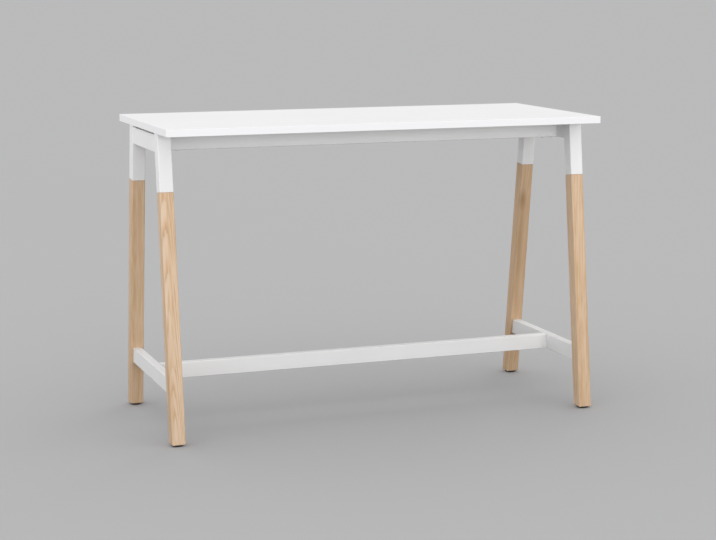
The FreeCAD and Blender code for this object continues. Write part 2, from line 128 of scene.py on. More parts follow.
# Fine edges, fits and depths of the fasteners and feet
SEAT_CHAMFER = 0.2 * MM
HEX_POINT = 0.5 * MM
CROSS_POINT = 0.4 * MM
STEM_CHAMFER = 0.4 * MM
STEM_TIP = 1.0 * MM
STEM_RUN_OUT = 0.2 * MM
STEM_FIT = 0.08 * MM
SOLE_SHARE = 6 / 7
SOLE_DISH = 0.3 * MM
SOLE_ROUND = 0.6 * MM
RIM_ROUND = 0.4 * MM
RIM_SLACK = 0.1 * MM
TOP_ROUND = 0.7 * MM
RING_GROOVE = 0.4 * MM
STEM_RECESS = 2.5 * MM

# Weld beads: the rail's rounded corner, the points round it and across the bead, how hollow the bead is,
# the swell of its ripples, and how far it reaches into the rail and the socket
RAIL_CORNER = 3.0 * MM
BEAD_POINTS = 240
BEAD_ROWS = 7
BEAD_POWER = 1.6
RIPPLE_SHARE = 0.07
BEAD_ROOT_SHARE = 0.15
BEAD_SINK = 0.05 * MM

# How finely meshes are made and joined
COLUMNS = 48
COLUMNS_PER_RIB = 4
DOME_ROWS = 8
ROWS_PER_PITCH = 6
SHARP_DEGREES = 35.0
MERGE_DISTANCE = 0.002 * MM
SAME_PLACE = 0.01 * MM
LEVEL_SLACK = 0.2 * MM
LEAST_SINE = 1e-6

# Studio: the floor's reach, and the distances up to which it is dark and from which it is pale to the table,
# in metres, then the lamps' spread, and the width of the camera's sensor in millimetres
FLOOR_REACH = 160.0
FLOOR_POINTS = 96
DARK_FLOOR = 1.75
PALE_FLOOR = 3.0
LAMP_SPREAD_DEGREES = 18.0
SENSOR_WIDTH = 36.0

# Range that holds most values of a noise texture, and the width of one wave of a wave texture at scale 1
NOISE_LOW = 0.3
NOISE_HIGH = 0.7
WAVE_WIDTH = math.pi / 10


# Sizes and colours that a user would change


def colour(name, description, default):
    return bpy.props.FloatVectorProperty(
        name=name, description=description, default=default, subtype="COLOR", size=4, min=0.0, max=1.0)


def length(name, description, millimetres):
    return bpy.props.FloatProperty(
        name=name, description=description, default=millimetres * MM, unit="LENGTH", precision=5)


class HighTableBoardFinish(bpy.types.PropertyGroup):
    """Melamine faces and edge bands of the board"""

    face: colour("Face", "Colour of the melamine faces", (0.815, 0.815, 0.815, 1.0))
    edge: colour("Edge", "Colour of the edge bands", (0.815, 0.812, 0.825, 1.0))
    pearl_size: length("Pearl size", "Width of one grain of the melamine's pearl texture", 0.9)
    pearl_depth: length("Pearl depth", "Depth of the melamine's pearl texture", 0.02)


class HighTableSteelFinish(bpy.types.PropertyGroup):
    """Powder coat on the steel frame"""

    coat: colour("Coat", "Colour of the powder coat", (0.80, 0.797, 0.797, 1.0))
    peel_size: length("Peel size", "Width of one ripple of the coat's orange peel", 1.6)
    peel_depth: length("Peel depth", "Depth of the coat's orange peel", 0.03)
    bead: length("Weld bead", "Leg length of the weld beads", 2.0)
    ripple: length("Weld ripple", "Distance between the ripples of a weld bead", 1.8)


class HighTableTimberFinish(bpy.types.PropertyGroup):
    """Oiled ash of the legs"""

    late_wood: colour("Late wood", "Colour of the pale, dense part of a growth ring",
                      (0.715, 0.545, 0.395, 1.0))
    early_wood: colour("Early wood", "Colour of the open-pored part of a growth ring",
                       (0.505, 0.322, 0.178, 1.0))
    heart_tint: colour("Heart tint", "Colour of the warmer streaks", (0.55, 0.352, 0.19, 1.0))
    knot: colour("Knot", "Colour of the small knot", (0.30, 0.17, 0.08, 1.0))
    ring_width: length("Ring width", "Mean width of a growth ring", 4.6)
    streak_width: length("Streak width", "Mean width of the warmer streaks", 14.0)
    mottle_width: length("Mottle width", "Mean width of the short, soft patches of tone", 11.0)
    pore_width: length("Pore width", "Width of one pore line", 0.35)
    pore_depth: length("Pore depth", "Depth of the pore lines", 0.05)


class HighTableHardware(bpy.types.PropertyGroup):
    """Bolts, screws and feet"""

    zinc: colour("Zinc", "Colour of the zinc plating", (0.60, 0.61, 0.63, 1.0))
    aluminium: colour("Aluminium", "Colour of the aluminium blocks", (0.70, 0.70, 0.71, 1.0))
    plastic: colour("Plastic", "Colour of the moulded feet", (0.018, 0.018, 0.019, 1.0))
    hex_key: length("Hex key", "Width across flats of the bolts' sockets", 4.0)
    hex_depth: length("Hex depth", "Depth of the bolts' sockets", 2.0)
    bolt_pitch: length("Bolt pitch", "Thread pitch of the bolts", 1.0)
    screw_pitch: length("Screw pitch", "Thread pitch of the wood screws", 1.8)
    stem_pitch: length("Stem pitch", "Thread pitch of the levelling stems", 1.25)
    rib_count: bpy.props.IntProperty(
        name="Ribs", description="Number of grip ribs round each foot", default=48, min=3)
    rib_depth: length("Rib depth", "Depth of the grooves between the ribs", 0.45)


class HighTableStage(bpy.types.PropertyGroup):
    """Studio floor, lamps and camera"""

    floor: colour("Floor", "Colour of the studio's floor", (0.42, 0.42, 0.425, 1.0))
    near_bounce: colour("Near bounce", "Colour of the floor round the table, as the table sees it",
                        (0.06, 0.06, 0.06, 1.0))
    far_bounce: colour("Far bounce", "Colour of the floor further off, as the table sees it",
                       (0.70, 0.70, 0.70, 1.0))
    backdrop: colour("Backdrop", "Colour behind the floor", (0.488, 0.488, 0.494, 1.0))
    key_strength: bpy.props.FloatProperty(
        name="Key strength", description="Strength of the soft lamp in front", default=1.10)
    side_strength: bpy.props.FloatProperty(
        name="Side strength", description="Strength of the soft lamp at the left", default=0.60)
    back_strength: bpy.props.FloatProperty(
        name="Back strength", description="Strength of the soft lamp behind, at the right", default=0.62)
    sky: bpy.props.FloatProperty(
        name="Sky", description="Strength of the even light from all round", default=1.12)
    camera_place: bpy.props.FloatVectorProperty(
        name="Camera place", description="Where the camera stands", default=(-2.1654, -5.8546, 1.5790),
        subtype="TRANSLATION", unit="LENGTH")
    camera_turn: bpy.props.FloatVectorProperty(
        name="Camera turn", description="Pitch, roll and yaw of the camera",
        default=(math.radians(80.291), 0.0, math.radians(-20.293)), subtype="EULER")
    lens: bpy.props.FloatProperty(
        name="Lens", description="Focal length on a 36 mm wide sensor", default=86.57, unit="CAMERA")


class HighTableSettings(bpy.types.PropertyGroup):
    """All settings of the high table"""

    board: bpy.props.PointerProperty(
        name="Board", description="Board and edge bands", type=HighTableBoardFinish)
    steel: bpy.props.PointerProperty(
        name="Steel", description="Powder-coated frame", type=HighTableSteelFinish)
    timber: bpy.props.PointerProperty(
        name="Timber", description="Ash legs", type=HighTableTimberFinish)
    hardware: bpy.props.PointerProperty(
        name="Hardware", description="Fasteners and feet", type=HighTableHardware)
    stage: bpy.props.PointerProperty(
        name="Stage", description="Studio", type=HighTableStage)


def settings():
    return bpy.context.scene.high_table


# Shader nodes


def new_material(name):
    """Empty node material with a Principled shader on its output."""
    material = bpy.data.materials.new(name)
    material.use_nodes = True
    tree = material.node_tree
    tree.nodes.clear()
    shader = tree.nodes.new("ShaderNodeBsdfPrincipled")
    output = tree.nodes.new("ShaderNodeOutputMaterial")
    tree.links.new(shader.outputs["BSDF"], output.inputs["Surface"])
    return material, tree, shader


def feed(tree, socket, value):
    """Links a socket to another node's output, or sets its value."""
    if isinstance(value, bpy.types.NodeSocket):
        tree.links.new(value, socket)
    else:
        socket.default_value = value


def add(tree, kind, inputs, **choices):
    """Adds a shader node, makes its choices and feeds its inputs by name. Gives its first output."""
    node = tree.nodes.new("ShaderNode" + kind)
    for name, choice in choices.items():
        setattr(node, name, choice)
    for name, value in inputs.items():
        feed(tree, node.inputs[name], value)
    return node.outputs[0]


def math_of(tree, operation, first, second=0.0):
    node = tree.nodes.new("ShaderNodeMath")
    node.operation = operation
    feed(tree, node.inputs[0], first)
    feed(tree, node.inputs[1], second)
    return node.outputs[0]


def mix_colours(tree, share, first, second):
    """Colour that goes from the first to the second as share goes from 0 to 1."""
    node = tree.nodes.new("ShaderNodeMix")
    node.data_type = "RGBA"
    sockets = {socket.identifier: socket for socket in (*node.inputs, *node.outputs)}
    feed(tree, sockets["Factor_Float"], share)
    feed(tree, sockets["A_Color"], first)
    feed(tree, sockets["B_Color"], second)
    return sockets["Result_Color"]


def ramp(tree, value, stops):
    """Colour ramp through (position, colour) stops."""
    node = tree.nodes.new("ShaderNodeValToRGB")
    points = node.color_ramp.elements
    while len(points) < len(stops):
        points.new(0.5)
    for point, (position, shade) in zip(points, stops):
        point.position = position
        point.color = shade
    tree.links.new(value, node.inputs["Fac"])
    return node.outputs["Color"]


def spread(tree, value, low, high):
    """Carries a noise value from the range that holds most of it on to another range."""
    return add(tree, "MapRange", {
        "Value": value, "From Min": NOISE_LOW, "From Max": NOISE_HIGH, "To Min": low, "To Max": high})


def object_place(tree):
    return tree.nodes.new("ShaderNodeTexCoord").outputs["Object"]


def noise(tree, place, grain, detail=2.0, roughness=0.5):
    """Noise whose ripples are about as wide as a grain, in metres."""
    return add(tree, "TexNoise", {
        "Vector": place, "Scale": 1.0 / grain, "Detail": detail, "Roughness": roughness})


def shaded(shade, factor):
    """Colour with its brightness times a factor."""
    return tuple(channel * factor for channel in shade[:3]) + (1.0,)


def soft_ball(tree, place, centre, reach):
    """Value that falls evenly from one at a centre to nought at a reach along each axis."""
    around = add(tree, "Mapping", {
        "Vector": place, "Location": centre, "Scale": reach}, vector_type="TEXTURE")
    return add(tree, "TexGradient", {"Vector": around}, gradient_type="SPHERICAL")


def dress(tree, shader, tone, roughness, relief, strength, depth):
    """Feeds a shader its tone and roughness, and a relief as bump of a depth in metres."""
    tree.links.new(tone, shader.inputs["Base Color"])
    tree.links.new(roughness, shader.inputs["Roughness"])
    bump = add(tree, "Bump", {"Height": relief, "Strength": strength, "Distance": depth})
    tree.links.new(bump, shader.inputs["Normal"])


# Finishes


def pearl_melamine(name, face, pearl_size, pearl_depth):
    """White melamine or band: a fine pearl texture, a faint speckle and a slow drift of gloss."""
    material, tree, shader = new_material(name)
    place = object_place(tree)
    speckle = spread(tree, noise(tree, place, pearl_size, detail=3.0), low=0.0, high=1.0)
    tone = mix_colours(tree, speckle, shaded(face, factor=0.985), face)
    gloss = spread(tree, noise(tree, place, GLOSS_DRIFT), low=0.56, high=0.64)
    dress(tree, shader, tone, gloss, relief=speckle, strength=0.35, depth=pearl_depth)
    shader.inputs["Specular IOR Level"].default_value = 0.25
    return material


def powder_coat(name, coat, peel_size, peel_depth):
    """Powder-coated steel: orange peel, fine grit and a slight drift of tone and gloss."""
    material, tree, shader = new_material(name)
    place = object_place(tree)
    peel = noise(tree, place, peel_size, detail=1.0)
    grit = noise(tree, place, peel_size / GRIT_FINENESS)
    drift = noise(tree, place, TONE_DRIFT)
    tone = mix_colours(tree, spread(tree, drift, low=0.0, high=1.0), shaded(coat, factor=0.97), coat)
    gloss = spread(tree, drift, low=0.44, high=0.54)
    relief = math_of(tree, "ADD", peel, math_of(tree, "MULTIPLY", grit, GRIT_RELIEF_SHARE))
    dress(tree, shader, tone, gloss, relief, strength=0.5, depth=peel_depth)
    shader.inputs["Specular IOR Level"].default_value = 0.3
    return material


def drawn_out(tree, along_leg, grain, stretch):
    """Place on the leg, drawn out along the grain and moved to the leg's own place in the noise."""
    return add(tree, "Mapping", {
        "Vector": along_leg, "Location": (0.0, 0.0, -grain["noise_place"]),
        "Scale": (1.0, 1.0, stretch)}, vector_type="TEXTURE")


def growth_rings(tree, along_leg, ring_width, grain):
    """Value that climbs from nought to one across each growth ring, round a pith that leans and wanders."""
    pith_x, pith_y = (share * leg_width for share in grain["pith_shares"])
    lean_x, lean_y = (math.radians(angle) for angle in grain["lean_degrees"])
    sawn = add(tree, "Mapping", {
        "Vector": along_leg, "Location": (pith_x, pith_y, -grain["noise_place"]),
        "Rotation": (lean_x, lean_y, 0.0), "Scale": (1.0, 1.0, RING_STRETCH)}, vector_type="TEXTURE")
    rings = add(tree, "TexWave", {
        "Vector": sawn, "Scale": WAVE_WIDTH / ring_width, "Distortion": 9.0, "Detail": 3.0,
        "Detail Scale": 0.45, "Detail Roughness": 0.62},
        wave_type="RINGS", rings_direction="Z", wave_profile="SAW")
    return add(tree, "RGBToBW", {"Color": rings})


def with_knot(tree, along_leg, tone, finish):
    """Wood with a small knot on the leg's front, and a dark trail in the grain below it."""
    x, y = (share * leg_width for share in KNOT_SHARES)
    trail = soft_ball(tree, along_leg, (x, y, KNOT_HEIGHT - TRAIL_DROP), TRAIL_REACH)
    knot = soft_ball(tree, along_leg, (x, y, KNOT_HEIGHT), KNOT_REACH)
    trail_tint = shaded(finish.heart_tint, factor=0.76)
    tone = mix_colours(tree, math_of(tree, "MULTIPLY", trail, TRAIL_TINT_SHARE), tone, trail_tint)
    return mix_colours(tree, math_of(tree, "MULTIPLY", knot, KNOT_TINT_SHARE), tone, tuple(finish.knot))


def ash_timber(name, finish, foot, splay, grain, has_knot):
    """Ash sawn along the leg: growth rings, pore lines, warm streaks, soft patches and perhaps a knot."""
    material, tree, shader = new_material(name)
    along_leg = add(tree, "Mapping", {
        "Vector": object_place(tree), "Location": foot, "Rotation": (splay, 0.0, 0.0)},
        vector_type="TEXTURE")
    late, early, heart = tuple(finish.late_wood), tuple(finish.early_wood), tuple(finish.heart_tint)
    rings = growth_rings(tree, along_leg, finish.ring_width, grain)
    figure = ramp(tree, rings, (
        (0.0, early), (0.18, shaded(early, factor=1.18)), (0.48, shaded(late, factor=0.98)),
        (0.82, late), (1.0, shaded(late, factor=0.86))))
    fibre = drawn_out(tree, along_leg, grain, FIBRE_STRETCH)
    pores = spread(tree, noise(tree, fibre, finish.pore_width, roughness=0.6), low=0.0, high=1.0)
    streaks = spread(tree, noise(tree, fibre, finish.streak_width, detail=3.0), low=-0.40, high=1.00)
    patches = drawn_out(tree, along_leg, grain, MOTTLE_STRETCH)
    mottle = spread(tree, noise(tree, patches, finish.mottle_width), low=-0.20, high=0.70)
    tone = mix_colours(tree, streaks, figure, heart)
    tone = mix_colours(tree, mottle, tone, shaded(late, factor=1.04))
    tone = mix_colours(tree, grain["heart_share"], tone, heart)
    pore_tint = math_of(tree, "MULTIPLY", pores, PORE_TINT_SHARE)
    tone = mix_colours(tree, pore_tint, tone, shaded(early, factor=0.8))
    if has_knot:
        tone = with_knot(tree, along_leg, tone, finish)
    gloss = spread(tree, pores, low=0.44, high=0.58)
    relief = math_of(tree, "SUBTRACT", math_of(tree, "MULTIPLY", rings, RING_RELIEF_SHARE), pores)
    dress(tree, shader, tone, gloss, relief, strength=0.4, depth=finish.pore_depth)
    shader.inputs["Specular IOR Level"].default_value = 0.35
    return material


def plated_metal(name, tint, smoothest, roughest, marks_along):
    """Plated or machined metal: cloudy gloss, a tint that drifts and fine marks, drawn out as asked."""
    material, tree, shader = new_material(name)
    place = object_place(tree)
    cloud = noise(tree, place, CLOUD_SIZE, detail=3.0)
    marks_place = add(tree, "Mapping", {"Vector": place, "Scale": marks_along}, vector_type="TEXTURE")
    marks = noise(tree, marks_place, MARK_SIZE)
    tone = mix_colours(tree, spread(tree, cloud, low=0.0, high=1.0), shaded(tint, factor=0.88), tint)
    gloss = spread(tree, cloud, smoothest, roughest)
    dress(tree, shader, tone, gloss, relief=marks, strength=0.25, depth=MARK_DEPTH)
    shader.inputs["Metallic"].default_value = 1.0
    return material


def moulded_plastic(name, tint):
    """Black moulded plastic: a fine sparked texture and scuffed, paler patches."""
    material, tree, shader = new_material(name)
    place = object_place(tree)
    spark = noise(tree, place, SPARK_SIZE, detail=3.0, roughness=0.65)
    scuff = spread(tree, noise(tree, place, SCUFF_SIZE, detail=4.0, roughness=0.7), low=-0.4, high=0.5)
    tone = mix_colours(tree, scuff, tint, shaded(tint, factor=2.4))
    gloss = spread(tree, spark, low=0.46, high=0.62)
    dress(tree, shader, tone, gloss, relief=spark, strength=0.5, depth=SPARK_DEPTH)
    return material


def wear(node, material):
    """Puts a finish on a CAD node."""
    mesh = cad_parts[node].data
    mesh.materials.clear()
    mesh.materials.append(material)


# Surfaces worked out as whole arrays


def grid_faces(rows, columns, wrap_rows):
    """Quads of a grid whose columns close on themselves, and whose rows do too if asked."""
    row = np.arange(rows if wrap_rows else rows - 1)[:, None]
    column = np.arange(columns)[None, :]
    upper, after = (row + 1) % rows, (column + 1) % columns
    corners = (
        row * columns + column, row * columns + after, upper * columns + after, upper * columns + column)
    return np.stack(np.broadcast_arrays(*corners), axis=-1).reshape(-1, 4)


def turned_solid(radius, height):
    """Closed solid of revolution: each row of the two arrays is a ring of points round Z.

    Point (i, j) is (radius cos a, radius sin a, height), with a = 2 pi j / columns. The first and the last
    ring lie on the axis, so each end closes in a fan of its own ring's points.
    """
    rows, columns = radius.shape
    angle = 2 * math.pi * np.arange(columns) / columns
    points = np.stack([radius * np.cos(angle), radius * np.sin(angle), height + 0.0 * radius], axis=-1)
    return points.reshape(-1, 3), grid_faces(rows, columns, False)


def profile_rows(profile, columns):
    """Radius and height arrays of a plain turned profile: one ring for each (radius, height) pair."""
    table = np.array(profile)
    return np.repeat(table[:, :1], columns, axis=1), np.repeat(table[:, 1:], columns, axis=1)


def hexagon(columns, across_flats):
    """Radius of a hexagon by angle: half its width over the cosine of the angle from the nearest flat."""
    angle = 2 * math.pi * np.arange(columns) / columns
    from_flat = (angle + math.pi / 6) % (math.pi / 3) - math.pi / 6
    return across_flats / 2 / np.cos(from_flat)


def cross(columns, arm_length, arm_width):
    """Radius of a cross by angle: the arm's end, or its side where that is nearer the axis."""
    angle = 2 * math.pi * np.arange(columns) / columns
    from_arm = np.abs((angle + math.pi / 4) % (math.pi / 2) - math.pi / 4)
    side = arm_width / 2 / np.maximum(np.sin(from_arm), LEAST_SINE)
    return np.minimum(arm_length / np.cos(from_arm), side)


def threaded_rows(low, high, outer, pitch, depth, columns, tip=0.0):
    """Rings of a right-handed thread from a low to a high place on Z.

    The radius is the outer one less the depth times a share: twice the distance, in pitches, from the nearest
    crest, where the crest climbs one pitch for each turn. Within the tip the outer radius runs out evenly to
    a point.
    """
    steps = max(2, int(round((high - low) / pitch * ROWS_PER_PITCH)))
    height = np.linspace(low, high, steps)[:, None]
    turn = np.arange(columns)[None, :] / columns
    phase = (height / pitch - turn) % 1.0
    radius = outer - depth * (1.0 - np.abs(2.0 * phase - 1.0))
    if tip:
        radius = radius * np.clip((height - low) / tip, 0.0, 1.0)
    return radius, height + 0.0 * radius


def stacked(*blocks):
    """Radius and height arrays of several blocks of rings, one after the other."""
    return tuple(np.concatenate(arrays) for arrays in zip(*blocks))


def repeated(points, faces, turn, places):
    """Copies of a mesh, each turned by a matrix and moved to a place, as one mesh."""
    turned = points @ np.array(turn, float).T
    every = turned[None, :, :] + np.array(places, float)[:, None, :]
    steps = len(points) * np.arange(len(places))
    return every.reshape(-1, 3), (faces[None, :, :] + steps[:, None, None]).reshape(-1, faces.shape[1])


def add_piece(name, points, faces, material, slot, body, nodes):
    """Mesh object at the origin, smooth but for sharp edges, that rides on a body and stands for nodes."""
    mesh = bpy.data.meshes.new(name)
    mesh.from_pydata(points.tolist(), [], faces.tolist())
    mesh.validate()
    piece = bpy.data.objects.new(name, mesh)
    bpy.context.scene.collection.objects.link(piece)
    tidy_mesh(mesh)
    mesh.materials.append(material)
    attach(piece, body)
    if nodes:
        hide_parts(*nodes)
    return piece


def tidy_mesh(mesh):
    """Merges the rings on the axis into poles, points the faces outwards and sets the shading."""
    work = bmesh.new()
    work.from_mesh(mesh)
    bmesh.ops.remove_doubles(work, verts=work.verts, dist=MERGE_DISTANCE)
    bmesh.ops.recalc_face_normals(work, faces=work.faces)
    work.to_mesh(mesh)
    work.free()
    mesh.shade_smooth()
    mesh.set_sharp_from_angle(angle=math.radians(SHARP_DEGREES))


def solid_boxes(node):
    """Lowest and highest corners of each solid of a CAD node, found by passing labels along its edges."""
    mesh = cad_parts[node].data
    points = np.empty(len(mesh.vertices) * 3)
    mesh.vertices.foreach_get("co", points)
    edges = np.empty(len(mesh.edges) * 2, dtype=int)
    mesh.edges.foreach_get("vertices", edges)
    points = points.reshape(-1, 3)
    _, same = np.unique(np.round(points / SAME_PLACE).astype(int), axis=0, return_inverse=True)
    first, second = same.reshape(-1)[edges.reshape(-1, 2)].T
    label = np.arange(same.max() + 1)
    while True:
        lowest = np.minimum(label[first], label[second])
        settled = label.copy()
        np.minimum.at(settled, first, lowest)
        np.minimum.at(settled, second, lowest)
        if np.array_equal(settled, label):
            break
        label = settled
    owner = label[same.reshape(-1)]
    return [(points[owner == solid].min(0), points[owner == solid].max(0)) for solid in np.unique(owner)]


# Hardware shapes, with the head's top at +Z and its seat on the XY plane

POINT_UP = ((1, 0, 0), (0, -1, 0), (0, 0, -1))
POINT_FORWARD = ((1, 0, 0), (0, 0, 1), (0, -1, 0))


def domed_rows(rim, edge, head_height, wall_share):
    """Rings of a head's top: a quarter ellipse from its outer edge, above a straight wall, in to a rim."""
    quarter = np.linspace(0.0, math.pi / 2, DOME_ROWS)
    radius = rim + (edge - rim) * np.cos(quarter)
    height = head_height * (wall_share + (1.0 - wall_share) * np.sin(quarter))
    return profile_rows(np.stack([radius, height], axis=-1), COLUMNS)


def recess_rows(mouth, bottom, top, floor, point):
    """Rings of a recess in a head: its mouth, the edge of its floor and the point of a flat cone below."""
    radius = np.stack([mouth, bottom, 0.0 * mouth])
    return radius, np.array([[top], [floor], [floor - point]]) + 0.0 * radius


def button_bolt(hardware, head, bolt_length):
    """Button-headed bolt: a threaded shank, a head domed by a quarter ellipse and a six-sided socket."""
    shank, edge = BOLT_SHANK / 2, head / 2
    tip = 0.8 * hardware.bolt_pitch
    thread_depth = 0.5 * hardware.bolt_pitch
    below = profile_rows(((0.0, -bolt_length), (shank - tip, -bolt_length)), COLUMNS)
    thread = threaded_rows(tip - bolt_length, 0.0, shank, hardware.bolt_pitch, thread_depth, COLUMNS)
    seat = profile_rows(((shank, 0.0), (edge - SEAT_CHAMFER, 0.0), (edge, SEAT_CHAMFER)), COLUMNS)
    dome = domed_rows(rim=0.62 * hardware.hex_key, edge=edge, head_height=BOLT_HEAD, wall_share=0.35)
    six = hexagon(COLUMNS, hardware.hex_key)
    floor = BOLT_HEAD - hardware.hex_depth
    socket = recess_rows(six, bottom=six, top=BOLT_HEAD, floor=floor, point=HEX_POINT)
    return turned_solid(*stacked(below, thread, seat, dome, socket))


def pan_screw(hardware, head, screw_length):
    """Pan-headed wood screw: a tapering thread, a domed head and a cross recess that narrows downwards."""
    shank, edge = SCREW_SHANK / 2, head / 2
    thread_depth = 0.32 * hardware.screw_pitch
    thread = threaded_rows(
        -screw_length, 0.0, shank, hardware.screw_pitch, thread_depth, COLUMNS, SCREW_TIP)
    seat = profile_rows(((shank, 0.0), (edge, 0.0)), COLUMNS)
    dome = domed_rows(rim=0.66 * edge, edge=edge, head_height=SCREW_HEAD, wall_share=0.3)
    mouth = cross(COLUMNS, arm_length=0.56 * edge, arm_width=0.24 * edge)
    floor = 0.25 * SCREW_HEAD
    recess = recess_rows(mouth, bottom=0.6 * mouth, top=SCREW_HEAD, floor=floor, point=CROSS_POINT)
    return turned_solid(*stacked(thread, seat, dome, recess))


def ribbed_pad(hardware, low, high, flange):
    """Moulded foot: a tapered sole with rounded edges, grip ribs round its rim and a recess for the stem.

    The rim's radius drops by the rib depth times half of one less the cosine of ribs times the angle.
    """
    columns = COLUMNS_PER_RIB * hardware.rib_count
    outer = (high[0] - low[0]) / 2
    tall = high[2] - low[2]
    sole = SOLE_SHARE * outer
    groove_floor, recess_floor = tall - RING_GROOVE, tall - STEM_RECESS
    profile = np.array((
        (0.0, SOLE_DISH), (0.55 * sole, SOLE_DISH), (0.6 * sole, 0.0),
        (sole - SOLE_ROUND, 0.0), (sole, SOLE_DISH),
        (outer - RIM_ROUND, 0.30 * tall), (outer, 0.38 * tall), (outer, 0.86 * tall),
        (outer - TOP_ROUND, tall), (0.80 * outer, tall),
        (0.77 * outer, groove_floor), (0.60 * outer, groove_floor), (0.57 * outer, tall),
        (flange, tall), (flange, recess_floor), (0.0, recess_floor)))
    radius, height = profile_rows(profile, columns)
    angle = 2 * math.pi * np.arange(columns) / columns
    groove = hardware.rib_depth * 0.5 * (1.0 - np.cos(hardware.rib_count * angle))
    on_rim = (profile[:, 0] >= outer - RIM_SLACK)[:, None]
    return turned_solid(radius - on_rim * groove[None, :], height)


def threaded_stem(hardware, flange, flange_low, flange_high, top):
    """Levelling stem: a flange with chamfered edges below a threaded shank that ends in a chamfered tip."""
    chamfered = flange - STEM_CHAMFER
    foot = profile_rows((
        (0.0, flange_low), (chamfered, flange_low), (flange, flange_low + STEM_CHAMFER),
        (flange, flange_high - STEM_CHAMFER), (chamfered, flange_high),
        (STEM_RADIUS, flange_high)), COLUMNS)
    thread_depth = 0.55 * hardware.stem_pitch
    thread = threaded_rows(
        flange_high + STEM_RUN_OUT, top - STEM_TIP, STEM_RADIUS, hardware.stem_pitch, thread_depth, COLUMNS)
    tip = profile_rows(((STEM_RADIUS - STEM_TIP, top), (0.0, top)), COLUMNS)
    return turned_solid(*stacked(foot, thread, tip))


def rounded_loop(width, depth, radius, count):
    """Closed loop round a rectangle with rounded corners: its points and outward normals, evenly by angle.

    Each quarter is an arc about its corner's centre, and neighbouring arcs are joined by straight runs.
    """
    angle = (np.arange(count) + 0.5) * 2 * math.pi / count
    normal = np.stack([np.cos(angle), np.sin(angle)], axis=-1)
    centre = np.sign(normal) * (np.array([width, depth]) / 2 - radius)
    return centre + radius * normal, normal


# Operators


class HIGHTABLE_OT_finish_board(bpy.types.Operator):
    """Puts melamine on the board and edge bands on its four sides"""

    bl_idname = "high_table.finish_board"
    bl_label = "Finish Board"

    def execute(self, context):
        finish = settings().board
        face, edge = tuple(finish.face), tuple(finish.edge)
        wear("top_board", pearl_melamine("White melamine", face, finish.pearl_size, finish.pearl_depth))
        band_pearl = BAND_PEARL_SHARE * finish.pearl_size
        band = pearl_melamine("White edge band", edge, band_pearl, finish.pearl_depth)
        for side in ("front", "back", "left", "right"):
            wear("edge_band_" + side, band)
        return {"FINISHED"}


class HIGHTABLE_OT_finish_frame(bpy.types.Operator):
    """Puts powder coat on the steel frame, and bare finishes on the pieces inside it"""

    bl_idname = "high_table.finish_frame"
    bl_label = "Finish Frame"

    def execute(self, context):
        finish, hardware = settings().steel, settings().hardware
        coat = powder_coat("White powder coat", tuple(finish.coat), finish.peel_size, finish.peel_depth)
        tint = tuple(hardware.aluminium)
        block = plated_metal("Sawn aluminium", tint, smoothest=0.30, roughest=0.45, marks_along=MARKS_ALONG_Y)
        coated = ["front_rail", "rear_rail", "stretcher", "front_rail_brackets", "rear_rail_brackets"]
        for side, _ in SIDES:
            coated += [
                side + piece for piece in ("_head_rail", "_crossbar", "_head_bracket", "_stretcher_lug")]
        for corner, _, _ in CORNERS:
            coated += [corner + piece for piece in ("_leg_socket", "_stop_plate", "_rail_spigot")]
            wear(corner + "_crossbar_spigot", block)
        for node in coated:
            wear(node, coat)
        return {"FINISHED"}


class HIGHTABLE_OT_add_welds(bpy.types.Operator):
    """Adds the weld beads round the ends of the head rails, under the powder coat"""

    bl_idname = "high_table.add_welds"
    bl_label = "Add Weld Beads"

    def execute(self, context):
        finish = settings().steel
        coat = bpy.data.materials["White powder coat"]
        for side, x_sign in SIDES:
            blocks = [weld_bead(finish, x_sign, y_sign) for _, y_sign in ENDS]
            points = np.concatenate([block[0] for block in blocks])
            faces = np.concatenate([blocks[0][1], blocks[1][1] + len(blocks[0][0])])
            add_piece(side + "_head_rail_welds", points, faces, coat, "white_steel", ROOT_BODY, ())
        return {"FINISHED"}


def weld_bead(finish, x_sign, y_sign):
    """Fillet bead where a head rail meets a socket, carried round the rail on the socket's sloping face.

    Across the bead, a point lies the bead's size times a power of the cosine back along the rail, and times
    that power of the sine out from it, by a quarter turn, with a last point under the surface. Along the
    bead the size swells by a cosine of its ripples.
    """
    rail_low, rail_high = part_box(("left" if x_sign < 0 else "right") + "_head_rail")
    width, depth = rail_high.x - rail_low.x, rail_high.z - rail_low.z
    middle_x, middle_z = (rail_low.x + rail_high.x) / 2, (rail_low.z + rail_high.z) / 2
    loop, normal = rounded_loop(width, depth, RAIL_CORNER, BEAD_POINTS)
    step = np.linalg.norm(np.diff(loop, axis=0, append=loop[:1]), axis=1)
    run = np.concatenate([[0.0], np.cumsum(step)[:-1]])
    size = finish.bead * (1.0 + RIPPLE_SHARE * np.cos(2 * math.pi * run / finish.ripple))
    quarter = np.linspace(0.0, math.pi / 2, BEAD_ROWS)
    back = np.append(np.cos(quarter) ** BEAD_POWER, 0.0)
    out = np.append(np.sin(quarter) ** BEAD_POWER, -BEAD_ROOT_SHARE)
    section = loop[:, None, :] + size[:, None, None] * out[None, :, None] * normal[:, None, :]
    height = middle_z + section[..., 1]
    along = socket_face_y(height) + BEAD_SINK - size[:, None] * back[None, :]
    points = np.stack([middle_x + section[..., 0], y_sign * along, height], axis=-1)
    rows, columns = points.shape[:2]
    return points.reshape(-1, 3), grid_faces(rows, columns, True)


def socket_face_y(height):
    """Distance of a rear socket's inward face from the table's middle plane, from the head rail's end."""
    lower, upper = head_end(head_low.z), head_end(head_high.z)
    return lower + (head_low.z - height) * (lower - upper) / (head_high.z - head_low.z)


def head_end(level):
    """Reach along Y of the right head rail's end at a level."""
    corners = np.array([vertex.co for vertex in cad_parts["right_head_rail"].data.vertices])
    return corners[np.abs(corners[:, 2] - level) < LEVEL_SLACK][:, 1].max()


